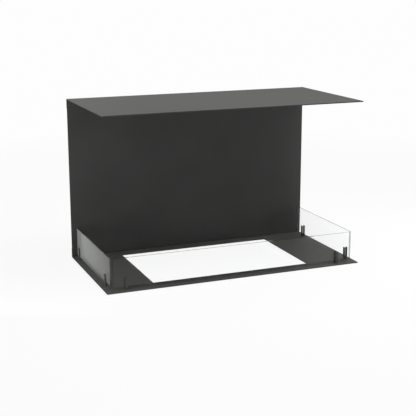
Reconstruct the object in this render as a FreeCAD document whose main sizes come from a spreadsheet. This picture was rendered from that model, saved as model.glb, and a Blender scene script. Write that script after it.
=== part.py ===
import FreeCAD, Part
import math
import os
import Sketcher

# Casing of a water vapour fireplace: a sheet base with a burner cut-out, a back and a top,
# with a low glass screen that stands in forked clips along the three open sides.
# Millimetres, +Z up, the open front faces -Y, origin under the middle of the whole object.

doc = FreeCAD.newDocument("vapour_fireplace")

# Driving sizes
DRIVING_SIZES = (
    ("casing_width", 800),
    ("casing_depth", 395),
    ("casing_height", 500),
    ("sheet_thickness", 3),
    ("bend_radius", 2),
    ("lip_height", 30),
    ("plate_corner_radius", 2),
    ("plate_edge_break", 0.4),
    ("panel_edge_gap", 0.5),
    ("cutout_width", 498),
    ("cutout_depth", 307),
    ("cutout_front_margin", 47),
    ("cutout_corner_radius", 2),
    ("glass_thickness", 5),
    ("glass_height", 87),
    ("glass_inset", 15),
    ("glass_corner_gap", 2),
    ("glass_back_gap", 10),
    ("glass_corner_radius", 2),
    ("glass_arris", 0.5),
    ("glass_play", 0.1),
    ("clip_width", 9),
    ("clip_height", 37),
    ("clip_floor", 6),
    ("clip_prong", 2),
    ("clip_edge_break", 0.5),
    ("front_clip_left_inset", 39),
    ("front_clip_right_inset", 46),
    ("side_clip_left_inset", 27),
    ("side_clip_right_inset", 47),
    ("liner_wall", 0.8),
    ("liner_floor", 1),
    ("liner_set_back", 0.5),
    ("liner_top_drop", 1),
    ("clip_floor_skin", 0.5),
    ("screw_diameter", 4),
    ("screw_head_diameter", 8),
    ("screw_hole_play", 0.3),
    ("screw_seat_play", 0.1),
    ("screw_tip_play", 0.5),
    ("stud_diameter", 4),
    ("stud_end_reach", 1),
    ("stud_count", 4),
    ("stud_end_margin", 80),
    ("stud_hole_play", 0.3),
    ("nut_width", 7),
    ("nut_height", 4),
    ("nut_flange_diameter", 10),
    ("nut_flange_height", 1),
    ("thread_play", 0.1),
)


class Size:
    """A length that holds its value and the sheet formula that gives it."""

    def __init__(self, value, formula):
        self.value = value
        self.formula = formula

    def __add__(self, other):
        other = as_size(other)
        return Size(self.value + other.value, f"({self.formula} + {other.formula})")

    def __sub__(self, other):
        other = as_size(other)
        return Size(self.value - other.value, f"({self.formula} - {other.formula})")

    def __mul__(self, other):
        other = as_size(other)
        return Size(self.value * other.value, f"({self.formula} * {other.formula})")

    def __truediv__(self, other):
        other = as_size(other)
        return Size(self.value / other.value, f"({self.formula} / {other.formula})")

    def __neg__(self):
        return Size(-self.value, f"(0 - {self.formula})")


def as_size(number):
    if isinstance(number, Size):
        return number
    return Size(number, repr(number))


sheet = doc.addObject("Spreadsheet::Sheet", "Sizes")
size = {}
for row, (name, value) in enumerate(DRIVING_SIZES, start=1):
    sheet.set(f"A{row}", name.replace("_", " "))
    sheet.set(f"B{row}", str(value))
    sheet.setAlias(f"B{row}", name)
    size[name] = Size(value, f"Sizes.{name}")
doc.recompute()

# Places that several pieces share, with y measured back from the front edge of the base
sheet_thickness = size["sheet_thickness"]
casing_width = size["casing_width"]
casing_depth = size["casing_depth"]
casing_height = size["casing_height"]
glass_thickness = size["glass_thickness"]
stud_reach = size["nut_height"] + size["stud_end_reach"]
front_edge_y = -(casing_depth + stud_reach) / 2
back_panel_y = casing_depth - sheet_thickness * 2
back_panel_inset = sheet_thickness + size["bend_radius"] + size["panel_edge_gap"]
glass_bottom = sheet_thickness + size["clip_floor"] + size["liner_floor"]
glass_corner = size["glass_inset"] + glass_thickness + size["glass_corner_gap"]
glass_middle = size["glass_inset"] + glass_thickness / 2
front_glass_length = casing_width - glass_corner * 2
side_glass_back = back_panel_y - size["glass_back_gap"]
side_glass_length = side_glass_back - glass_corner
side_glass_middle = glass_corner + side_glass_length / 2
clip_slot = glass_thickness + (size["liner_wall"] + size["glass_play"]) * 2
side_clip_x = casing_width / 2 - glass_middle
stud_first_x = size["stud_end_margin"] - casing_width / 2
stud_span = casing_width - size["stud_end_margin"] * 2
stud_height = (size["bend_radius"] + sheet_thickness + size["lip_height"]) / 2
stud_count = int(size["stud_count"].value)
screw_length = glass_bottom - size["liner_floor"] - size["clip_floor_skin"] - size["screw_tip_play"]

TOLERANCE = 1e-4
COUNTERSINK_ANGLE = 90
POINTING_BACK = FreeCAD.Rotation(FreeCAD.Vector(1, 0, 0), -90)

# Each clip's middle and its turn about the upright. A clip's inset runs from the end of its pane,
# and left and right are as seen from outside, so both side panes hold their clips alike.
CLIP_SPOTS = {
    "front_left": (size["front_clip_left_inset"] - front_glass_length / 2, glass_middle, 0),
    "front_right": (front_glass_length / 2 - size["front_clip_right_inset"], glass_middle, 0),
    "left_front": (-side_clip_x, glass_corner + size["side_clip_right_inset"], -90),
    "left_rear": (-side_clip_x, side_glass_back - size["side_clip_left_inset"], -90),
    "right_front": (side_clip_x, glass_corner + size["side_clip_left_inset"], 90),
    "right_rear": (side_clip_x, side_glass_back - size["side_clip_right_inset"], 90),
}

nodes = []


# Helpers for documents, sketches and edges
def bind(owner, path, amount):
    owner.setExpression(path, as_size(amount).formula)


def place(owner, x, y, z, rotation=FreeCAD.Rotation()):
    """Stand a piece at x, y, z of the casing, turned by a rotation."""
    owner.Placement = FreeCAD.Placement(FreeCAD.Vector(), rotation)
    bind(owner, "Placement.Base.x", x)
    bind(owner, "Placement.Base.y", front_edge_y + y)
    bind(owner, "Placement.Base.z", z)


def upright_turn(degrees):
    return FreeCAD.Rotation(FreeCAD.Vector(0, 0, 1), degrees)


def new_body(label):
    body = doc.addObject("PartDesign::Body", label)
    body.Label = label
    return body


def new_sketch(body, role, facing_away=False):
    plane = next(feature for feature in body.Origin.OriginFeatures if feature.Role == role)
    sketch = body.newObject("Sketcher::SketchObject", body.Name + "_sketch")
    sketch.AttachmentSupport = [(plane, "")]
    sketch.MapMode = "FlatFace"
    sketch.MapReversed = facing_away
    return sketch


def pin_point(sketch, geometry, point, x, y):
    """Hold one point of a sketch at x, y from the sketch's origin."""
    for kind, amount in (("DistanceX", as_size(x)), ("DistanceY", as_size(y))):
        rule = sketch.addConstraint(Sketcher.Constraint(kind, -1, 1, geometry, point, amount.value))
        bind(sketch, f"Constraints[{rule}]", amount)


def draw_outline(sketch, corners):
    """Draw a closed outline of straight lines with every corner held in place."""
    spots = [FreeCAD.Vector(as_size(x).value, as_size(y).value, 0) for x, y in corners]
    lines = []
    for start, end in zip(spots, spots[1:] + spots[:1]):
        lines.append(sketch.addGeometry(Part.LineSegment(start, end)))
    for line, following in zip(lines, lines[1:] + lines[:1]):
        sketch.addConstraint(Sketcher.Constraint("Coincident", line, 2, following, 1))
    for line, (x, y) in zip(lines, corners):
        pin_point(sketch, line, 1, x, y)


def draw_rectangle(sketch, x0, y0, x1, y1):
    draw_outline(sketch, ((x0, y0), (x1, y0), (x1, y1), (x0, y1)))


def draw_circle(sketch, x, y, radius):
    centre = FreeCAD.Vector(as_size(x).value, as_size(y).value, 0)
    circle = sketch.addGeometry(Part.Circle(centre, FreeCAD.Vector(0, 0, 1), radius.value))
    rule = sketch.addConstraint(Sketcher.Constraint("Radius", circle, radius.value))
    bind(sketch, f"Constraints[{rule}]", radius)
    pin_point(sketch, circle, 3, x, y)


def draw_hexagon(sketch, width):
    """Draw a hexagon of the given width across its flats, with two flats level."""
    across_corners = width * (2 / math.sqrt(3))
    half = width / 2
    quarter = across_corners / 4
    draw_outline(sketch, (
        (-across_corners / 2, 0), (-quarter, -half), (quarter, -half),
        (across_corners / 2, 0), (quarter, half), (-quarter, half),
    ))


def add_pad(body, sketch, length, both_ways=False, reversed_way=False):
    pad = body.newObject("PartDesign::Pad", body.Name + "_pad")
    pad.Profile = sketch
    pad.SideType = "Symmetric" if both_ways else "One side"
    pad.Reversed = reversed_way
    bind(pad, "Length", length)
    doc.recompute()
    return pad


def add_pocket(body, sketch, depth=None, reversed_way=False):
    """Cut a sketch into a body, to a depth or right through, and see that it removes something."""
    before = body.Shape.Volume
    pocket = body.newObject("PartDesign::Pocket", body.Name + "_pocket")
    pocket.Profile = sketch
    pocket.Reversed = reversed_way
    if depth is None:
        pocket.Type = "ThroughAll"
    else:
        bind(pocket, "Length", depth)
    doc.recompute()
    if body.Shape.Volume >= before:
        raise RuntimeError(f"{pocket.Label} cuts nothing")
    return pocket


def add_revolution(body, sketch):
    turned = body.newObject("PartDesign::Revolution", body.Name + "_revolution")
    turned.Profile = sketch
    turned.ReferenceAxis = (sketch, ["V_Axis"])
    turned.Angle = 360
    doc.recompute()


def edge_names(shape, is_wanted):
    """Names of the edges whose ends and middle all satisfy a test."""
    names = []
    for index, edge in enumerate(shape.Edges, start=1):
        middle = edge.valueAt((edge.FirstParameter + edge.LastParameter) / 2)
        points = [vertex.Point for vertex in edge.Vertexes] + [middle]
        if all(is_wanted(point) for point in points):
            names.append(f"Edge{index}")
    return names


def near(value, target):
    return abs(value - as_size(target).value) < TOLERANCE


def add_fillet(body, radius, is_wanted):
    base = body.Tip
    fillet = body.newObject("PartDesign::Fillet", body.Name + "_fillet")
    fillet.Base = (base, edge_names(base.Shape, is_wanted))
    bind(fillet, "Radius", radius)
    doc.recompute()


def break_rim(body, is_rim):
    """Break both edges of a sheet's cut rim, and leave the seams that cross its thickness."""
    base = body.Tip
    seams = {
        f"Edge{index}" for index, edge in enumerate(base.Shape.Edges, start=1)
        if near(edge.Length, sheet_thickness)
    }
    chamfer = body.newObject("PartDesign::Chamfer", body.Name + "_rim")
    chamfer.Base = (base, [name for name in edge_names(base.Shape, is_rim) if name not in seams])
    bind(chamfer, "Size", size["plate_edge_break"])
    doc.recompute()


def add_chamfer(body, amount, is_wanted):
    base = body.Tip
    chamfer = body.newObject("PartDesign::Chamfer", body.Name + "_chamfer")
    chamfer.Base = (base, edge_names(base.Shape, is_wanted))
    bind(chamfer, "Size", amount)
    doc.recompute()


# Folded plates: the base, and the top that is its mirror without the cut-out
def fold_plate(label, plate_z, lip_end_z):
    """A sheet at plate_z whose rear lip runs to lip_end_z, bent on its inner radius."""
    upward = lip_end_z.value > plate_z.value
    outer_z = plate_z if upward else plate_z + sheet_thickness
    inner_z = plate_z + sheet_thickness if upward else plate_z
    lip_y = casing_depth - sheet_thickness
    body = new_body(label)
    profile = new_sketch(body, "YZ_Plane")
    draw_outline(profile, (
        (0, outer_z), (casing_depth, outer_z), (casing_depth, lip_end_z),
        (lip_y, lip_end_z), (lip_y, inner_z), (0, inner_z),
    ))
    add_pad(body, profile, casing_width, both_ways=True)
    add_fillet(body, size["bend_radius"], lambda p: near(p.y, lip_y) and near(p.z, inner_z))
    add_fillet(
        body, size["bend_radius"] + sheet_thickness,
        lambda p: near(p.y, casing_depth) and near(p.z, outer_z),
    )
    add_fillet(
        body, size["plate_corner_radius"],
        lambda p: near(abs(p.x), casing_width / 2) and (near(p.y, 0) or near(p.z, lip_end_z)),
    )
    corner_reach = size["plate_corner_radius"].value + TOLERANCE
    break_rim(body, lambda p: (
        near(abs(p.x), casing_width / 2) or p.y < corner_reach or abs(p.z - lip_end_z.value) < corner_reach
    ))
    return body


def drill_stud_holes(body, height):
    """A row of clearance holes through a rear lip."""
    sketch = new_sketch(body, "XZ_Plane")
    draw_circle(sketch, stud_first_x, height, size["stud_diameter"] / 2 + size["stud_hole_play"])
    hole = add_pocket(body, sketch)
    row = body.newObject("PartDesign::LinearPattern", body.Name + "_row")
    row.Originals = [hole]
    row.Direction = (sketch, ["H_Axis"])
    bind(row, "Length", stud_span)
    bind(row, "Occurrences", size["stud_count"])
    body.Tip = row
    doc.recompute()


def drill_clip_holes(body):
    """Clearance holes under the clips, countersunk from below so that the heads lie flush."""
    sketch = new_sketch(body, "XY_Plane", facing_away=True)
    radius = size["screw_diameter"] / 2 + size["screw_hole_play"]
    for x, y, _ in CLIP_SPOTS.values():
        draw_circle(sketch, -x, y, radius)
    doc.recompute()
    hole = body.newObject("PartDesign::Hole", body.Name + "_hole")
    hole.Profile = sketch
    doc.recompute()
    hole.ThreadType = "None"
    hole.DepthType = "ThroughAll"
    hole.HoleCutType = "Countersink"
    hole.HoleCutCountersinkAngle = COUNTERSINK_ANGLE
    bind(hole, "Diameter", radius * 2)
    bind(hole, "HoleCutDiameter", size["screw_head_diameter"] + size["screw_seat_play"] * 2)
    doc.recompute()


def build_base_plate():
    body = fold_plate("base_plate", as_size(0), size["lip_height"])
    half_cutout = size["cutout_width"] / 2
    cutout_front = size["cutout_front_margin"]
    cutout_back = cutout_front + size["cutout_depth"]
    opening = new_sketch(body, "XY_Plane")
    draw_rectangle(opening, -half_cutout, cutout_front, half_cutout, cutout_back)
    add_pocket(body, opening, reversed_way=True)
    add_fillet(
        body, size["cutout_corner_radius"],
        lambda p: near(abs(p.x), half_cutout) and (near(p.y, cutout_front) or near(p.y, cutout_back)),
    )
    drill_stud_holes(body, stud_height)
    drill_clip_holes(body)
    place(body, 0, 0, 0)
    nodes.append(body)


def build_top_plate():
    body = fold_plate("top_plate", casing_height - sheet_thickness, casing_height - size["lip_height"])
    drill_stud_holes(body, casing_height - stud_height)
    place(body, 0, 0, 0)
    nodes.append(body)


def build_back_panel():
    """A flat sheet that stands in front of both lips, clear of their bends."""
    body = new_body("back_panel")
    half_width = casing_width / 2
    outline = new_sketch(body, "XZ_Plane")
    draw_rectangle(outline, -half_width, back_panel_inset, half_width, casing_height - back_panel_inset)
    add_pad(body, outline, sheet_thickness, reversed_way=True)
    add_fillet(
        body, size["plate_corner_radius"],
        lambda p: near(abs(p.x), half_width)
        and (near(p.z, back_panel_inset) or near(p.z, casing_height - back_panel_inset)),
    )
    break_rim(body, lambda p: True)
    place(body, 0, back_panel_y, 0)
    nodes.append(body)


# Glass panes with rounded corners and a ground arris all round
def build_glass(label, length, x, y, turn):
    body = new_body(label)
    outline = new_sketch(body, "XZ_Plane")
    draw_rectangle(outline, -length / 2, 0, length / 2, size["glass_height"])
    add_pad(body, outline, glass_thickness, reversed_way=True)
    add_fillet(
        body, size["glass_corner_radius"],
        lambda p: near(abs(p.x), length / 2) and (near(p.z, 0) or near(p.z, size["glass_height"])),
    )
    for face_y in (as_size(0), glass_thickness):
        add_chamfer(body, size["glass_arris"], lambda p: near(p.y, face_y))
    place(body, x, y, glass_bottom, upright_turn(turn))
    nodes.append(body)


# Forked clips: a solid foot with two prongs, tapped from below
def build_clip(spot):
    x, y, turn = CLIP_SPOTS[spot]
    inner = clip_slot / 2
    outer = inner + size["clip_prong"]
    floor = size["clip_floor"]
    height = size["clip_height"]
    body = new_body(spot + "_clip")
    profile = new_sketch(body, "YZ_Plane")
    draw_outline(profile, (
        (-outer, 0), (outer, 0), (outer, height), (inner, height),
        (inner, floor), (-inner, floor), (-inner, height), (-outer, height),
    ))
    add_pad(body, profile, size["clip_width"], both_ways=True)
    thread = new_sketch(body, "XY_Plane")
    draw_circle(thread, 0, 0, size["screw_diameter"] / 2 + size["thread_play"])
    add_pocket(body, thread, floor - size["clip_floor_skin"], reversed_way=True)
    add_chamfer(
        body, size["clip_edge_break"],
        lambda p: near(p.z, height) or (near(abs(p.x), size["clip_width"] / 2) and near(abs(p.y), outer)),
    )
    place(body, x, y, sheet_thickness, upright_turn(turn))
    nodes.append(body)


def build_liner(spot):
    """A soft U-shaped strip that keeps the glass off the metal of a clip."""
    x, y, turn = CLIP_SPOTS[spot]
    outer = clip_slot / 2
    inner = outer - size["liner_wall"]
    bottom = size["clip_floor"]
    floor = bottom + size["liner_floor"]
    top = size["clip_height"] - size["liner_top_drop"]
    body = new_body(spot + "_liner")
    profile = new_sketch(body, "YZ_Plane")
    draw_outline(profile, (
        (-outer, bottom), (outer, bottom), (outer, top), (inner, top),
        (inner, floor), (-inner, floor), (-inner, top), (-outer, top),
    ))
    add_pad(body, profile, size["clip_width"] - size["liner_set_back"] * 2, both_ways=True)
    place(body, x, y, sheet_thickness, upright_turn(turn))
    nodes.append(body)


# Fasteners, each made once and then repeated as a group
def build_screw():
    """A countersunk screw that points up from its flat head."""
    head_radius = size["screw_head_diameter"] / 2
    shank_radius = size["screw_diameter"] / 2
    body = new_body("clip_screw")
    profile = new_sketch(body, "XZ_Plane")
    draw_outline(profile, (
        (0, 0), (head_radius, 0), (shank_radius, head_radius - shank_radius),
        (shank_radius, screw_length), (0, screw_length),
    ))
    add_revolution(body, profile)
    return body


def build_stud():
    """A threaded stud that is welded to the sheet by its flat end."""
    body = new_body("back_stud")
    profile = new_sketch(body, "XZ_Plane")
    draw_rectangle(profile, 0, 0, size["stud_diameter"] / 2, sheet_thickness + stud_reach)
    add_revolution(body, profile)
    return body


def build_nut():
    """A hexagon nut on its own round flange."""
    body = new_body("back_nut")
    hexagon = new_sketch(body, "XY_Plane")
    draw_hexagon(hexagon, size["nut_width"])
    add_pad(body, hexagon, size["nut_height"])
    flange = new_sketch(body, "XY_Plane")
    draw_circle(flange, 0, 0, size["nut_flange_diameter"] / 2)
    add_pad(body, flange, size["nut_flange_height"])
    bore = new_sketch(body, "XY_Plane")
    draw_circle(bore, 0, 0, size["stud_diameter"] / 2 + size["thread_play"])
    add_pocket(body, bore, reversed_way=True)
    return body


def build_group(label, master, spots, rotation=FreeCAD.Rotation()):
    """Repeat one fastener at several places, as one node of separate solids."""
    copies = []
    for index, (x, y, z) in enumerate(spots, start=1):
        copy = doc.addObject("App::Link", f"{label}_{index}")
        copy.LinkedObject = master
        place(copy, x, y, z, rotation)
        copies.append(copy)
    group = doc.addObject("Part::Compound", label)
    group.Label = label
    group.Links = copies
    doc.recompute()
    nodes.append(group)


def stud_spots(y, z):
    step = stud_span / (stud_count - 1)
    return [(stud_first_x + step * index, y, z) for index in range(stud_count)]


build_base_plate()
build_back_panel()
build_top_plate()

build_glass("front_glass", front_glass_length, 0, size["glass_inset"], 0)
side_glass_x = casing_width / 2 - size["glass_inset"]
build_glass("left_glass", side_glass_length, -side_glass_x, side_glass_middle, -90)
build_glass("right_glass", side_glass_length, side_glass_x, side_glass_middle, 90)

for spot in CLIP_SPOTS:
    build_clip(spot)
    build_liner(spot)

build_group("clip_screws", build_screw(), [(x, y, 0) for x, y, _ in CLIP_SPOTS.values()])
stud = build_stud()
nut = build_nut()
for side, height in (("lower", stud_height), ("upper", casing_height - stud_height)):
    build_group(f"{side}_back_studs", stud, stud_spots(casing_depth - sheet_thickness, height), POINTING_BACK)
    build_group(f"{side}_back_nuts", nut, stud_spots(casing_depth, height), POINTING_BACK)

doc.recompute()

# Check every object before anything is written
failed = [item.Label for item in doc.Objects if "Invalid" in item.State or "Error" in item.State]
failed += [node.Label for node in nodes if node.Shape.isNull() or not node.Shape.isValid()]
if failed:
    raise RuntimeError("failed: " + ", ".join(failed))

os.makedirs("parts", exist_ok=True)
for node in nodes:
    node.Shape.exportStep(f"parts/{node.Label}.step")
    box = node.Shape.BoundBox
    print(
        f"{node.Label:20s} solids {len(node.Shape.Solids)} volume {node.Shape.Volume:10.1f}",
        f"x {box.XMin:8.2f} {box.XMax:8.2f} y {box.YMin:8.2f} {box.YMax:8.2f} z {box.ZMin:7.2f} {box.ZMax:7.2f}",
    )
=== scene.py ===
# %% [markdown]
# # A water vapour fireplace
# The object is an open sheet-steel casing: a base with a large cut-out, a back and a top, and a low glass
# screen along its three open sides. The solids come from CAD and stay where they are. This lesson gives
# every surface its finish, and rebuilds the small pieces whose shape catches the light: panes, clips,
# liners and fasteners.

# %% Load the measured solids
import math

import bmesh
import bpy
from mathutils import Matrix, Vector


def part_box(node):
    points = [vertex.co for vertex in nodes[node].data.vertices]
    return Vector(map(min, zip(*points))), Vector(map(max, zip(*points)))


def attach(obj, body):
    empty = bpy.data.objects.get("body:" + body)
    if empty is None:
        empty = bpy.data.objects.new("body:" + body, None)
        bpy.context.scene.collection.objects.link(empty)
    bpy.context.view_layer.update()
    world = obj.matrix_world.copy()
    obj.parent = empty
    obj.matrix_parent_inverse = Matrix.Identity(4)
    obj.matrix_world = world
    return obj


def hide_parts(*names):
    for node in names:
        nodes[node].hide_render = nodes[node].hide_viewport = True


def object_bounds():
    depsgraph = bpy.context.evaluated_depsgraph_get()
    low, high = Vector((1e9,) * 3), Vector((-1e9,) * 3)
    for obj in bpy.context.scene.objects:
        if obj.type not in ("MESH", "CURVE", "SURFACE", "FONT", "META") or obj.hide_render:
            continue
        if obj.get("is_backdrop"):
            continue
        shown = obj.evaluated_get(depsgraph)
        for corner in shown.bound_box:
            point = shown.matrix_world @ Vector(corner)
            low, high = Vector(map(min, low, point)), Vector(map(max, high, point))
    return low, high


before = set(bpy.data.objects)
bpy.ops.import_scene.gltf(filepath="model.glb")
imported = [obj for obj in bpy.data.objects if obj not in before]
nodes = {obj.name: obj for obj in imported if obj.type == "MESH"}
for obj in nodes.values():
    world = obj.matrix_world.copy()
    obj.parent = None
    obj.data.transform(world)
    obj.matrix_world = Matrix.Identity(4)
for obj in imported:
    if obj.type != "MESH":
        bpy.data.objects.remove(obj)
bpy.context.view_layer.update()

# %% [markdown]
# ## The camera
# A camera can be placed by eye, but here straight edges of known length were enough to solve for it. The
# numbers below are that solution: where the lens stood, how far it was turned, tipped and rolled, in
# radians, and its focal length. A long lens keeps the casing's edges nearly parallel, as a catalogue
# picture does.

# %% Place the camera
CAMERA_PLACE = (-1.0963, -2.6666, 0.8710)
CAMERA_YAW = math.radians(-22.041)
CAMERA_PITCH = math.radians(90 - 13.734)
CAMERA_ROLL = -0.00192
CAMERA_LENS = 83.52
SENSOR_WIDTH = 36

camera_data = bpy.data.cameras.new("catalogue_camera")
camera_data.sensor_width = SENSOR_WIDTH
camera_data.lens = CAMERA_LENS
camera = bpy.data.objects.new("catalogue_camera", camera_data)
camera.matrix_world = (
    Matrix.Translation(CAMERA_PLACE)
    @ Matrix.Rotation(CAMERA_YAW, 4, "Z")
    @ Matrix.Rotation(CAMERA_PITCH, 4, "X")
    @ Matrix.Rotation(CAMERA_ROLL, 4, "Z")
)
scene = bpy.context.scene
scene.collection.objects.link(camera)
scene.camera = camera
print("camera at", CAMERA_PLACE, "with a lens of", CAMERA_LENS, "mm")

# %% [markdown]
# ## Small helpers for node materials
# Every finish below is a node tree. Adding a node and wiring it takes three lines each time, so small
# helpers do that. Patterns read Object coordinates, which are metres on the real object: a noise scale of
# 1000 then has features about a millimetre wide, and stays put when the camera moves.

# %% Helpers for nodes
def fill_socket(tree, socket, value):
    """Give a socket a value, or wire it to another node's output."""
    if isinstance(value, bpy.types.NodeSocket):
        tree.links.new(value, socket)
    else:
        socket.default_value = value


def set_input(tree, node, name, value):
    fill_socket(tree, node.inputs[name], value)


def add_node(tree, kind, **inputs):
    """Add a shader node and fill in its inputs, whose names are written with _ for a space."""
    node = tree.nodes.new(kind)
    for name, value in inputs.items():
        set_input(tree, node, name.replace("_", " "), value)
    return node


def new_finish(name):
    """A new material with its node tree and its main shader."""
    material = bpy.data.materials.new(name)
    material.use_nodes = True
    tree = material.node_tree
    return material, tree, tree.nodes["Principled BSDF"]


print("node helpers ready")

# %% Helpers for patterns
# The Mix node has sockets for every kind of value. These are the numbers of the ones for colours.
MIX_FACTOR = 0
MIX_FIRST = 6
MIX_SECOND = 7
MIX_RESULT = 2


def object_noise(tree, scale, detail=2.0, stretch=(1, 1, 1)):
    """Noise in the object's own metres, squeezed along an axis where stretch is above 1."""
    place = add_node(tree, "ShaderNodeTexCoord")
    mapping = add_node(tree, "ShaderNodeMapping", Vector=place.outputs["Object"], Scale=stretch)
    noise = add_node(tree, "ShaderNodeTexNoise", Vector=mapping.outputs["Vector"], Scale=scale, Detail=detail)
    return noise.outputs["Fac"]


def spread(tree, value, low, high, from_low=0.3, from_high=0.7):
    """Map one range on to another. The range mapped from is a noise's usual one, if none is given."""
    ranged = add_node(
        tree, "ShaderNodeMapRange",
        Value=value, From_Min=from_low, From_Max=from_high, To_Min=low, To_Max=high,
    )
    return ranged.outputs["Result"]


def blend_colours(tree, factor, first, second):
    """Mix two colours, or a colour and a node's colour, by a factor from 0 to 1."""
    mix = tree.nodes.new("ShaderNodeMix")
    mix.data_type = "RGBA"
    fill_socket(tree, mix.inputs[MIX_FACTOR], factor)
    fill_socket(tree, mix.inputs[MIX_FIRST], first)
    fill_socket(tree, mix.inputs[MIX_SECOND], second)
    return mix.outputs[MIX_RESULT]


def cloud_colours(tree, noise, first, second):
    """Two colours that run into each other as a noise does."""
    return blend_colours(tree, spread(tree, noise, low=0, high=1), first, second)


def bump(tree, height, strength, distance, under=None):
    """Turn a height into a surface normal, on top of another bump if one is given."""
    node = add_node(tree, "ShaderNodeBump", Height=height, Strength=strength, Distance=distance)
    if under is not None:
        set_input(tree, node, "Normal", under)
    return node.outputs["Normal"]


print("pattern helpers ready")

# %% [markdown]
# ## Floor, background and light
# The picture is a catalogue shot on white. A white background could come from very strong lamps, but they
# would wash out the coating. Light Path is the better way: rays that the camera, a reflection or the glass
# sends out find a white surround, while the light that falls on the casing stays at a plain level. A ray
# that has left a matt surface counts as light, even when it then goes out through a pane. The floor glows
# white in the same way, with a share of plain matt paint near the object, so that it still shows a faint
# shadow.

# %% A white surround for sight, plain light for the casing
WHITE = (0.985, 0.985, 0.985, 1)
SKY_LIGHT = 0.52


def calculate(tree, operation, first, second):
    """Multiply or compare two numbers or node outputs."""
    node = tree.nodes.new("ShaderNodeMath")
    node.operation = operation
    for socket, value in zip(node.inputs, (first, second)):
        fill_socket(tree, socket, value)
    return node.outputs["Value"]


def seen_rays(tree):
    """1 for rays that look: from the camera, in a reflection or through glass, before any matt surface."""
    path = tree.nodes.new("ShaderNodeLightPath")
    found = path.outputs["Is Camera Ray"]
    for name in ("Is Glossy Ray", "Is Transmission Ray"):
        found = calculate(tree, "MAXIMUM", found, path.outputs[name])
    before_matt = calculate(tree, "LESS_THAN", path.outputs["Diffuse Depth"], 1)
    return calculate(tree, "MULTIPLY", found, before_matt)


def pick_shader(tree, factor, first, second):
    """The first shader where the factor is 0, the second where it is 1."""
    mix = tree.nodes.new("ShaderNodeMixShader")
    for socket, source in zip(mix.inputs, (factor, first, second)):
        tree.links.new(source, socket)
    return mix.outputs["Shader"]


world = bpy.data.worlds.new("studio")
world.use_nodes = True
scene.world = world
sky = world.node_tree
sky_light = sky.nodes["Background"]
set_input(sky, sky_light, "Color", (1, 1, 1, 1))
set_input(sky, sky_light, "Strength", SKY_LIGHT)
sky_seen = add_node(sky, "ShaderNodeBackground", Color=WHITE, Strength=1.0)
sky_mix = pick_shader(sky, seen_rays(sky), sky_light.outputs["Background"], sky_seen.outputs["Background"])
sky.links.new(sky_mix, sky.nodes["World Output"].inputs["Surface"])
print("world lights at", SKY_LIGHT, "and looks white")

# %% The floor
FLOOR_RADIUS = 8.0
FLOOR_SEGMENTS = 64
FLOOR_DROP = 0.0005
FLOOR_PAINT = (0.8, 0.8, 0.8, 1)
SHADOW_SHARE = 0.09
SHADOW_FADES_FROM = 1.3
SHADOW_FADES_TO = 2.6

floor_mesh = bpy.data.meshes.new("floor")
shape = bmesh.new()
bmesh.ops.create_circle(shape, cap_ends=True, segments=FLOOR_SEGMENTS, radius=FLOOR_RADIUS)
bmesh.ops.translate(shape, vec=(0, 0, -FLOOR_DROP), verts=shape.verts)
shape.to_mesh(floor_mesh)
shape.free()
floor = bpy.data.objects.new("floor", floor_mesh)
scene.collection.objects.link(floor)

floor_paint, tree, _ = new_finish("studio_floor")
tree.nodes.clear()
matt = add_node(tree, "ShaderNodeBsdfDiffuse", Color=FLOOR_PAINT).outputs["BSDF"]
glow = add_node(tree, "ShaderNodeEmission", Color=WHITE, Strength=1.0).outputs["Emission"]
place = add_node(tree, "ShaderNodeTexCoord")
distance = add_node(tree, "ShaderNodeVectorMath", Vector=place.outputs["Object"])
distance.operation = "LENGTH"
near_object = spread(
    tree, distance.outputs["Value"],
    low=SHADOW_SHARE, high=0, from_low=SHADOW_FADES_FROM, from_high=SHADOW_FADES_TO,
)
seen_floor = pick_shader(tree, near_object, glow, matt)
floor_mix = pick_shader(tree, seen_rays(tree), matt, seen_floor)
output = tree.nodes.new("ShaderNodeOutputMaterial")
tree.links.new(floor_mix, output.inputs["Surface"])
floor_mesh.materials.append(floor_paint)
floor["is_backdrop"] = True
print("floor of radius", FLOOR_RADIUS, "m")

# %% [markdown]
# ## Four softboxes
# The sky alone would light the hearth as flatly as the floor. Four soft lamps give it shape, and each has
# one job: the top one lights the strip of base in front of the glass, the right one makes the base paler to
# the right, the left one stands low, faces up and lifts the left end of the back, and the rear one pales the
# rear of the top. A lamp close to the back would light that end more, but from the right it would then show
# as a glare. The Standard view transform leaves the white of the surround as it is.

# %% Hang the softboxes
# Each has a name, its place, the point that it faces, its size in metres and its power in watts.
SOFTBOXES = (
    ("top_softbox", (0.4, -0.6, 1.8), (0, -0.2, 0), (0.8, 0.8), 24.0),
    ("right_softbox", (1.2, -0.5, 0.35), (0.4, 0.19, 0.3), (0.4, 0.4), 7.0),
    ("left_softbox", (-0.8, -0.4, 0.08), (-0.45, 0.19, 1.6), (0.4, 0.3), 7.0),
    ("rear_softbox", (-0.5, 1.4, 1.3), (-0.1, 0.1, 0.5), (0.8, 0.6), 6.0),
)

for name, place_at, look_at, size, power in SOFTBOXES:
    lamp_data = bpy.data.lights.new(name, "AREA")
    lamp_data.shape = "RECTANGLE"
    lamp_data.size, lamp_data.size_y = size
    lamp_data.energy = power
    lamp = bpy.data.objects.new(name, lamp_data)
    lamp.location = place_at
    lamp.rotation_euler = (Vector(look_at) - Vector(place_at)).to_track_quat("-Z", "Y").to_euler()
    scene.collection.objects.link(lamp)
    print(name, "of", size, "m at", power, "W")

scene.view_settings.view_transform = "Standard"

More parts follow.
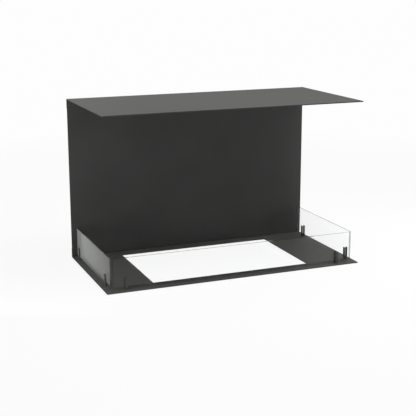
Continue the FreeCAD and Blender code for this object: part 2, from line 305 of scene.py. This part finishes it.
# %% [markdown]
# ## The coated sheet
# The base, the back and the top are sheet steel with a charcoal powder coat: a matt film that flows out in
# the oven with a faint orange peel and fine grains. A flat grey would look like plastic. Here wide noise
# makes the film a little thicker and thinner, fine noise makes the peel and its uneven gloss, and the finest
# noise the grains. The gloss is low, because a glossy base would mirror the dark back. A little sheen does
# the rest: like the tiny bumps of a matt film it scatters light at shallow views, and that turns the top and
# the base pale.

# %% Powder coat on the three plates
COAT_THIN = (0.0262, 0.0262, 0.0258, 1)
COAT_THICK = (0.0300, 0.0300, 0.0295, 1)
COAT_GRAIN = (0.0560, 0.0560, 0.0547, 1)
COAT_SHEEN = (0.99, 1.0, 0.88, 1)


def powder_coat():
    """A matt film with orange peel, fine grains and a little sheen."""
    material, tree, shader = new_finish("powder_coat")
    film = object_noise(tree, scale=9.0)
    peel = object_noise(tree, scale=650.0)
    grain = object_noise(tree, scale=2400.0, detail=1.0)
    colour = cloud_colours(tree, film, COAT_THIN, COAT_THICK)
    grains = spread(tree, grain, low=0, high=0.5, from_low=0.6, from_high=0.72)
    colour = blend_colours(tree, grains, colour, COAT_GRAIN)
    normal = bump(tree, peel, strength=0.10, distance=0.0004)
    normal = bump(tree, grain, strength=0.12, distance=0.0001, under=normal)
    set_input(tree, shader, "Base Color", colour)
    set_input(tree, shader, "Roughness", spread(tree, peel, low=0.54, high=0.64))
    set_input(tree, shader, "Normal", normal)
    set_input(tree, shader, "Specular IOR Level", 0.06)
    set_input(tree, shader, "Sheen Weight", 0.115)
    set_input(tree, shader, "Sheen Tint", COAT_SHEEN)
    set_input(tree, shader, "Sheen Roughness", 0.5)
    return material


def dress_node(name, material):
    """Give a CAD node its finish, in every material slot."""
    node = nodes[name]
    if not node.material_slots:
        node.data.materials.append(material)
    for slot in node.material_slots:
        slot.material = material
    print(name, "wears", material.name)


coat = powder_coat()
for name in ("base_plate", "back_panel", "top_plate"):
    dress_node(name, coat)

# %% [markdown]
# ## The glass screen
# Each pane is a strip of toughened glass with its corners rounded and its edges ground, because a sharp edge
# would chip. It could be one block of glass, but a thin pane hardly shifts what is behind it, while its edge
# is seen through the whole width of the strip and so looks grey-green. That edge is the line by which the
# eye finds a clear pane. So the block gets rounded corners, then a small bevel round both faces, and each
# kind of face its own finish. The clear faces barely bend the view: a thin gloss on top reflects the
# surround, and outside there is a trace of dust, a sheen that veils only panes seen at a shallow angle. On
# the side panes it thickens towards the rear, where a cloth reaches least. The ground edges are tinted. The
# rear ends of the side panes, which face the back, are polished and stay clear.

# %% Clear faces
GLASS_CLEAR = (0.996, 0.999, 0.998, 1)
GLASS_FILM = (0.990, 0.995, 0.993, 1)
GLASS_IOR = 1.01
DUST_TINT = (0.97, 1.0, 0.95, 1)
SIDE_DUST = 0.15
SIDE_DUST_REAR = 1.0
SIDE_GLOSS_IOR = 1.085
FRONT_DUST = 0.2
FRONT_GLOSS_IOR = 1.12


def front_to_rear(tree, front, rear):
    """A value that changes along a side pane, from its front end to its rear end."""
    place = add_node(tree, "ShaderNodeTexCoord")
    split = add_node(tree, "ShaderNodeSeparateXYZ", Vector=place.outputs["Object"])
    low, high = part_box("left_glass")
    return spread(tree, split.outputs["Y"], front, rear, low.y, high.y)


def clear_glass(name, dust, gloss_ior, rear_dust=None):
    """Glass under a thin gloss and a film of dust, which can change towards the rear."""
    material, tree, shader = new_finish(name)
    wipe = object_noise(tree, scale=14.0, stretch=(1, 1, 2.5))
    set_input(tree, shader, "Base Color", cloud_colours(tree, wipe, GLASS_CLEAR, GLASS_FILM))
    smear = spread(tree, wipe, low=0, high=0.012, from_low=0.5, from_high=0.75)
    set_input(tree, shader, "Roughness", smear)
    set_input(tree, shader, "IOR", GLASS_IOR)
    set_input(tree, shader, "Transmission Weight", 1.0)
    veil = dust if rear_dust is None else front_to_rear(tree, dust, rear_dust)
    set_input(tree, shader, "Sheen Weight", veil)
    set_input(tree, shader, "Sheen Tint", DUST_TINT)
    set_input(tree, shader, "Sheen Roughness", 0.4)
    set_input(tree, shader, "Coat Weight", 1.0)
    set_input(tree, shader, "Coat IOR", gloss_ior)
    set_input(tree, shader, "Coat Roughness", 0.0)
    return material


side_faces = (
    clear_glass("side_glass_outside", SIDE_DUST, SIDE_GLOSS_IOR, SIDE_DUST_REAR),
    clear_glass("side_glass_inside", 0, SIDE_GLOSS_IOR),
)
front_faces = (
    clear_glass("front_glass_outside", FRONT_DUST, FRONT_GLOSS_IOR),
    clear_glass("front_glass_inside", 0, FRONT_GLOSS_IOR),
)
print("clear faces", [finish.name for finish in side_faces + front_faces])

# %% Ground edges and polished ends
GLASS_EDGE_DEEP = (0.34, 0.37, 0.36, 1)
GLASS_EDGE_PALE = (0.43, 0.46, 0.45, 1)
GLASS_END_DEEP = (0.82, 0.85, 0.84, 1)
GLASS_END_PALE = (0.88, 0.91, 0.90, 1)


def edge_glass(name, deep, pale):
    """Tinted glass with fine scratches."""
    material, tree, shader = new_finish(name)
    scratch = object_noise(tree, scale=1500.0, detail=3.0)
    depth = object_noise(tree, scale=60.0)
    set_input(tree, shader, "Base Color", cloud_colours(tree, depth, deep, pale))
    set_input(tree, shader, "Roughness", spread(tree, scratch, low=0.04, high=0.12))
    set_input(tree, shader, "Normal", bump(tree, scratch, strength=0.15, distance=0.0001))
    set_input(tree, shader, "IOR", GLASS_IOR)
    set_input(tree, shader, "Transmission Weight", 1.0)
    return material


glass_edges = (
    edge_glass("ground_glass_edge", GLASS_EDGE_DEEP, GLASS_EDGE_PALE),
    edge_glass("polished_glass_end", GLASS_END_DEEP, GLASS_END_PALE),
)
print("glass edges", [finish.name for finish in glass_edges])

# %% Mesh helpers
SMOOTH_ANGLE = math.radians(35)


def finish_piece(name, shape, materials, body, slot, *replaced):
    """Close a bmesh as a piece that rides on a body and stands for CAD nodes."""
    mesh = bpy.data.meshes.new(name)
    shape.to_mesh(mesh)
    shape.free()
    for material in materials:
        mesh.materials.append(material)
    mesh.shade_smooth()
    mesh.set_sharp_from_angle(angle=SMOOTH_ANGLE)
    piece = bpy.data.objects.new(name, mesh)
    scene.collection.objects.link(piece)
    flat_sides = piece.modifiers.new("flat_sides", "WEIGHTED_NORMAL")
    flat_sides.keep_sharp = True
    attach(piece, body)
    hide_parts(*replaced)
    print(name, "has", len(mesh.polygons), "faces and rides on", body)


def block(low, high):
    """A bmesh cube stretched to fill a box."""
    shape = bmesh.new()
    bmesh.ops.create_cube(shape, size=1)
    bmesh.ops.scale(shape, vec=high - low, verts=shape.verts)
    bmesh.ops.translate(shape, vec=(low + high) / 2, verts=shape.verts)
    return shape


def round_edges(shape, edges, radius, segments):
    """Bevel edges to a quarter round."""
    bmesh.ops.bevel(
        shape, geom=edges, offset=radius, affect="EDGES", segments=segments, profile=0.5, material=-1,
    )


print("faces that meet below", round(math.degrees(SMOOTH_ANGLE)), "degrees look smooth")

# %% Model the three panes
PANE_CORNER = 0.002
PANE_ARRIS = 0.0005
ALIGNED = 0.99
REARWARD = 0.5
X_AXIS, Y_AXIS, Z_AXIS = range(3)
OUTSIDE, INSIDE, EDGE, REAR_END = range(4)


def along(edge, axis):
    """True if an edge runs along an axis."""
    run = edge.verts[1].co - edge.verts[0].co
    return abs(run[axis]) > ALIGNED * run.length


def model_pane(node, name, body):
    """A pane with rounded corners, bevelled rims and a finish for each kind of face."""
    low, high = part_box(node)
    size = high - low
    thin = min((X_AXIS, Y_AXIS, Z_AXIS), key=lambda axis: size[axis])
    shape = block(low, high)
    round_edges(shape, [edge for edge in shape.edges if along(edge, thin)], PANE_CORNER, segments=5)
    faces = [face for face in shape.faces if abs(face.normal[thin]) > ALIGNED]
    rims = {edge for face in faces for edge in face.edges}
    round_edges(shape, list(rims), PANE_ARRIS, segments=2)
    outward = (low + high)[thin]
    for face in shape.faces:
        if abs(face.normal[thin]) > ALIGNED:
            face.material_index = OUTSIDE if face.normal[thin] * outward > 0 else INSIDE
            for edge in face.edges:
                edge.smooth = False
        else:
            rear_end = face.normal.y > REARWARD and thin == X_AXIS
            face.material_index = REAR_END if rear_end else EDGE
    clear_faces = side_faces if thin == X_AXIS else front_faces
    finish_piece(name, shape, clear_faces + glass_edges, body, "clear_glass", node)


for side in ("left", "front", "right"):
    model_pane(f"{side}_glass", f"{side}_pane_glass", f"{side}_pane")

# %% [markdown]
# ## The forked clips and their liners
# Each pane stands in two forked clips: a foot with two prongs, milled from bar and coated like the casing. A
# soft liner shaped like a U keeps the glass off the metal. A fork could be drawn as an outline and extruded.
# Starting from the foot is just as short: slice its top in three, pull the outer two parts up as prongs, and
# round every outer edge. Clip and liner are the same shape at two sizes, so one function makes both.

# %% Finishes of the clips and liners
CLIP_DARK = (0.0360, 0.0360, 0.0351, 1)
CLIP_WORN = (0.0480, 0.0480, 0.0469, 1)
RUBBER_DARK = (0.0080, 0.0080, 0.0082, 1)
RUBBER_DUSTY = (0.0160, 0.0158, 0.0152, 1)


def coated_clip():
    """A matt coat over faint marks of milling."""
    material, tree, shader = new_finish("coated_clip")
    milling = object_noise(tree, scale=900.0, stretch=(1, 1, 0.08))
    film = object_noise(tree, scale=180.0)
    set_input(tree, shader, "Base Color", cloud_colours(tree, film, CLIP_DARK, CLIP_WORN))
    set_input(tree, shader, "Roughness", spread(tree, milling, low=0.52, high=0.64))
    set_input(tree, shader, "Normal", bump(tree, milling, strength=0.12, distance=0.0001))
    set_input(tree, shader, "Specular IOR Level", 0.10)
    return material


def soft_rubber():
    """Black rubber with a dusty bloom."""
    material, tree, shader = new_finish("liner_rubber")
    skin = object_noise(tree, scale=1800.0, detail=3.0)
    bloom = object_noise(tree, scale=220.0)
    set_input(tree, shader, "Base Color", cloud_colours(tree, bloom, RUBBER_DARK, RUBBER_DUSTY))
    set_input(tree, shader, "Roughness", spread(tree, skin, low=0.62, high=0.80))
    set_input(tree, shader, "Normal", bump(tree, skin, strength=0.2, distance=0.0001))
    return material


clip_finish = coated_clip()
rubber = soft_rubber()
print("clip finishes", clip_finish.name, "and", rubber.name)

# %% Helpers that make a fork from its foot
COPLANAR = math.radians(1)
SAME_LEVEL = 1e-6


def model_fork(low, high, slot_low, slot_high, floor_top, thin):
    """A foot whose top is sliced at both walls of the slot, with its outer parts pulled up as prongs."""
    foot_high = high.copy()
    foot_high.z = floor_top
    shape = block(low, foot_high)
    across = Vector((0, 0, 0))
    across[thin] = 1
    for wall in (slot_low, slot_high):
        geometry = shape.verts[:] + shape.edges[:] + shape.faces[:]
        bmesh.ops.bisect_plane(shape, geom=geometry, plane_co=across * wall, plane_no=across)
    tops = [
        face for face in shape.faces
        if face.normal.z > ALIGNED and not slot_low < face.calc_center_median()[thin] < slot_high
    ]
    for top in tops:
        pulled = bmesh.ops.extrude_discrete_faces(shape, faces=[top])["faces"]
        bmesh.ops.translate(shape, vec=(0, 0, high.z - floor_top), verts=pulled[0].verts[:])
    bmesh.ops.dissolve_limit(shape, angle_limit=COPLANAR, verts=shape.verts[:], edges=shape.edges[:])
    return shape


def outer_edges(shape, bottom):
    """The edges that stick out, apart from those round the foot's underside."""
    return [
        edge for edge in shape.edges
        if edge.is_convex and edge.calc_face_angle() > SMOOTH_ANGLE
        and not all(abs(vert.co.z - bottom) < SAME_LEVEL for vert in edge.verts)
    ]


print("fork helpers ready")

# %% Model the six clips, each with its liner
CLIP_EDGE = 0.0005
LINER_EDGE = 0.0002
GLASS_PLAY = 0.0001
CLIP_SPOTS = {
    "front_left": "front", "front_right": "front",
    "left_front": "left", "left_rear": "left",
    "right_front": "right", "right_rear": "right",
}

for spot, side in CLIP_SPOTS.items():
    clip_low, clip_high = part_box(f"{spot}_clip")
    liner_low, liner_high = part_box(f"{spot}_liner")
    glass_low, glass_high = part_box(f"{side}_glass")
    thin = Y_AXIS if side == "front" else X_AXIS
    fork = model_fork(clip_low, clip_high, liner_low[thin], liner_high[thin], liner_low.z, thin)
    round_edges(fork, outer_edges(fork, clip_low.z), CLIP_EDGE, segments=3)
    finish_piece(f"{spot}_fork", fork, (clip_finish,), "casing", "clip_metal", f"{spot}_clip")
    slot_low = glass_low[thin] - GLASS_PLAY
    slot_high = glass_high[thin] + GLASS_PLAY
    strip = model_fork(liner_low, liner_high, slot_low, slot_high, glass_low.z, thin)
    round_edges(strip, outer_edges(strip, liner_low.z), LINER_EDGE, segments=2)
    finish_piece(f"{spot}_strip", strip, (rubber,), "casing", "liner_rubber", f"{spot}_liner")

# %% [markdown]
# ## Screws, studs and nuts
# The clips are held from below by countersunk socket screws, and the back by welded studs with flange nuts.
# All are zinc-plated steel, which is pale and a little cloudy, with a hint of blue and straw from the
# passivation. A screw could be a plain cone, but its socket is what shows from below. Rings of vertices do
# it all: make a ring, extrude it along the axis, scale it, and bridge it to the next.

# %% Zinc-plated steel
ZINC_BLUE = (0.46, 0.48, 0.50, 1)
ZINC_STRAW = (0.58, 0.56, 0.50, 1)


def zinc_plate():
    """Zinc with soft clouds of blue and straw over fine crystals."""
    material, tree, shader = new_finish("zinc_plate")
    cloud = object_noise(tree, scale=260.0)
    crystal = object_noise(tree, scale=3200.0, detail=3.0)
    set_input(tree, shader, "Base Color", cloud_colours(tree, cloud, ZINC_BLUE, ZINC_STRAW))
    set_input(tree, shader, "Metallic", 1.0)
    set_input(tree, shader, "Roughness", spread(tree, crystal, low=0.28, high=0.46))
    set_input(tree, shader, "Normal", bump(tree, crystal, strength=0.12, distance=0.00005))
    return material


zinc = zinc_plate()
print("fastener finish", zinc.name)

# %% Rings of vertices
ROUND_SEGMENTS = 24
HEXAGON_SIDES = 6


def ring_edges(verts):
    """The edges that join the vertices of a ring."""
    ring = set(verts)
    return list({edge for vert in verts for edge in vert.link_edges if set(edge.verts) <= ring})


def add_ring(shape, radius, height, segments=ROUND_SEGMENTS):
    """A ring of edges round the Z axis."""
    ring = bmesh.ops.create_circle(shape, segments=segments, radius=radius)["verts"]
    bmesh.ops.translate(shape, vec=(0, 0, height), verts=ring)
    return ring_edges(ring)


def add_hexagon(shape, flats, height):
    """A hexagon round the Z axis, given by its width across the flats."""
    return add_ring(shape, flats / math.sqrt(3), height, segments=HEXAGON_SIDES)


def pull_ring(shape, edges, radius_scale, rise):
    """Extrude a ring along Z and scale it about the axis."""
    pulled = bmesh.ops.extrude_edge_only(shape, edges=edges)["geom"]
    verts = [item for item in pulled if isinstance(item, bmesh.types.BMVert)]
    bmesh.ops.scale(shape, vec=(radius_scale, radius_scale, 1), verts=verts)
    bmesh.ops.translate(shape, vec=(0, 0, rise), verts=verts)
    return [item for item in pulled if isinstance(item, bmesh.types.BMEdge)]


def close_ring(shape, edges):
    """Fill a ring with one face."""
    bmesh.ops.contextual_create(shape, geom=edges)


print("round rings have", ROUND_SEGMENTS, "edges")

# %% Repeat a fastener
def copy_to(shape, places, turn):
    """Repeat a shape at several places, turned from +Z."""
    whole = bmesh.new()
    master = bpy.data.meshes.new("master")
    shape.to_mesh(master)
    shape.free()
    for place in places:
        start = len(whole.verts)
        whole.from_mesh(master)
        whole.verts.ensure_lookup_table()
        bmesh.ops.transform(whole, matrix=Matrix.Translation(place) @ turn, verts=whole.verts[start:])
    bpy.data.meshes.remove(master)
    bmesh.ops.recalc_face_normals(whole, faces=whole.faces[:])
    return whole


print("copying helper ready")

# %% Countersunk screws under the clips
HEAD_RADIUS = 0.0040
SHANK_RADIUS = 0.0020
SOCKET_FLATS = 0.0025
SOCKET_DEPTH = 0.0014
HEAD_LIP = 0.0002
TIP_CHAMFER = 0.0004


def model_screw(length):
    """A screw that stands on its head. Its cone slopes at 45 degrees, so it rises as far as it narrows."""
    shape = bmesh.new()
    head_edge = add_ring(shape, HEAD_RADIUS, 0)
    socket = add_hexagon(shape, SOCKET_FLATS, 0)
    bmesh.ops.bridge_loops(shape, edges=head_edge + socket)
    close_ring(shape, pull_ring(shape, socket, 1, SOCKET_DEPTH))
    cone_height = HEAD_RADIUS - SHANK_RADIUS
    lip = pull_ring(shape, head_edge, 1, HEAD_LIP)
    cone = pull_ring(shape, lip, SHANK_RADIUS / HEAD_RADIUS, cone_height)
    shank = pull_ring(shape, cone, 1, length - HEAD_LIP - cone_height - TIP_CHAMFER)
    close_ring(shape, pull_ring(shape, shank, 1 - TIP_CHAMFER / SHANK_RADIUS, TIP_CHAMFER))
    return shape


screw_low, screw_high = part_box("clip_screws")
screw_places = []
for spot in CLIP_SPOTS:
    low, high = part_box(f"{spot}_clip")
    middle = (low + high) / 2
    screw_places.append(Vector((middle.x, middle.y, screw_low.z)))
screws = copy_to(model_screw(screw_high.z - screw_low.z), screw_places, Matrix.Identity(4))
finish_piece("clip_screw_set", screws, (zinc,), "casing", "fastener_steel", "clip_screws")

# %% A threaded stud
STUD_RADIUS = 0.00195
STUD_CHAMFER = 0.0004
THREAD_PITCH = 0.0007
THREAD_DEPTH = 0.0003


def model_stud(length):
    """A stud built up ring by ring: a valley and a crest for every turn of the thread."""
    shape = bmesh.new()
    ring = add_ring(shape, STUD_RADIUS, 0)
    close_ring(shape, ring)
    turns = int((length - STUD_CHAMFER) / THREAD_PITCH)
    valley = 1 - THREAD_DEPTH / STUD_RADIUS
    for _ in range(turns):
        ring = pull_ring(shape, ring, valley, THREAD_PITCH / 2)
        ring = pull_ring(shape, ring, 1 / valley, THREAD_PITCH / 2)
    ring = pull_ring(shape, ring, 1, length - STUD_CHAMFER - turns * THREAD_PITCH)
    close_ring(shape, pull_ring(shape, ring, 1 - STUD_CHAMFER / STUD_RADIUS, STUD_CHAMFER))
    return shape


print("studs of radius", STUD_RADIUS, "m with a pitch of", THREAD_PITCH, "m")

# %% A flange nut
NUT_FLATS = 0.007
NUT_BORE = 0.0021
BORE_CHAMFER = 0.0003
FLANGE_RADIUS = 0.005
FLANGE_RIM = 0.0006
SHOULDER_RADIUS = 0.0042
HEXAGON_FOOT = 0.0013
CROWN_RADIUS = 0.0033
CROWN_SLOPE = math.tan(math.radians(30))


def model_nut(height):
    """A flange that rises to a hexagon, whose top corners are turned off as on a lathe."""
    shape = bmesh.new()
    flange = add_ring(shape, FLANGE_RADIUS, 0)
    bore_low = pull_ring(shape, flange, NUT_BORE / FLANGE_RADIUS, 0)
    rim = pull_ring(shape, flange, 1, FLANGE_RIM)
    shoulder = pull_ring(shape, rim, SHOULDER_RADIUS / FLANGE_RADIUS, FLANGE_RIM)
    hexagon = add_hexagon(shape, NUT_FLATS, HEXAGON_FOOT)
    cuts = ROUND_SEGMENTS // HEXAGON_SIDES - 1
    split = bmesh.ops.subdivide_edges(shape, edges=hexagon, cuts=cuts)["geom_inner"]
    corners = {vert for edge in hexagon for vert in edge.verts}
    inner = [item for item in split if isinstance(item, bmesh.types.BMVert)]
    hexagon = ring_edges(list(corners | set(inner)))
    bmesh.ops.bridge_loops(shape, edges=shoulder + hexagon)
    top = pull_ring(shape, hexagon, 1, height - HEXAGON_FOOT)
    for vert in {vert for edge in top for vert in edge.verts}:
        reach = Vector((vert.co.x, vert.co.y)).length
        vert.co.z = height - (reach - CROWN_RADIUS) * CROWN_SLOPE
    crown = add_ring(shape, CROWN_RADIUS, height)
    bmesh.ops.bridge_loops(shape, edges=top + crown)
    mouth = pull_ring(shape, crown, (NUT_BORE + BORE_CHAMFER) / CROWN_RADIUS, 0)
    bore_high = pull_ring(shape, mouth, NUT_BORE / (NUT_BORE + BORE_CHAMFER), -BORE_CHAMFER)
    bmesh.ops.bridge_loops(shape, edges=bore_high + bore_low)
    return shape


print("nuts", NUT_FLATS, "m across the flats")

# %% Two rows of studs and nuts behind the back
STUDS_IN_ROW = 4
POINTING_BACK = Matrix.Rotation(math.radians(-90), 4, "X")

for row in ("lower", "upper"):
    stud_low, stud_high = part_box(f"{row}_back_studs")
    nut_low, nut_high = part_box(f"{row}_back_nuts")
    height = (stud_low.z + stud_high.z) / 2
    radius = (stud_high.z - stud_low.z) / 2
    first = stud_low.x + radius
    last = stud_high.x - radius
    step = (last - first) / (STUDS_IN_ROW - 1)
    columns = [first + step * index for index in range(STUDS_IN_ROW)]
    stud_places = [Vector((column, stud_low.y, height)) for column in columns]
    studs = copy_to(model_stud(stud_high.y - stud_low.y), stud_places, POINTING_BACK)
    finish_piece(f"{row}_stud_row", studs, (zinc,), "casing", "fastener_steel", f"{row}_back_studs")
    nut_places = [Vector((column, nut_low.y, height)) for column in columns]
    nuts = copy_to(model_nut(nut_high.y - nut_low.y), nut_places, POINTING_BACK)
    finish_piece(f"{row}_nut_row", nuts, (zinc,), "casing", "fastener_steel", f"{row}_back_nuts")

# %% [markdown]
# ## The size of the dressed object
# The dressed object has to stay inside the box of the solids. Here its box is measured and printed.

# %% Measure the visual box
low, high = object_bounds()
print("visual box from", tuple(low), "to", tuple(high))
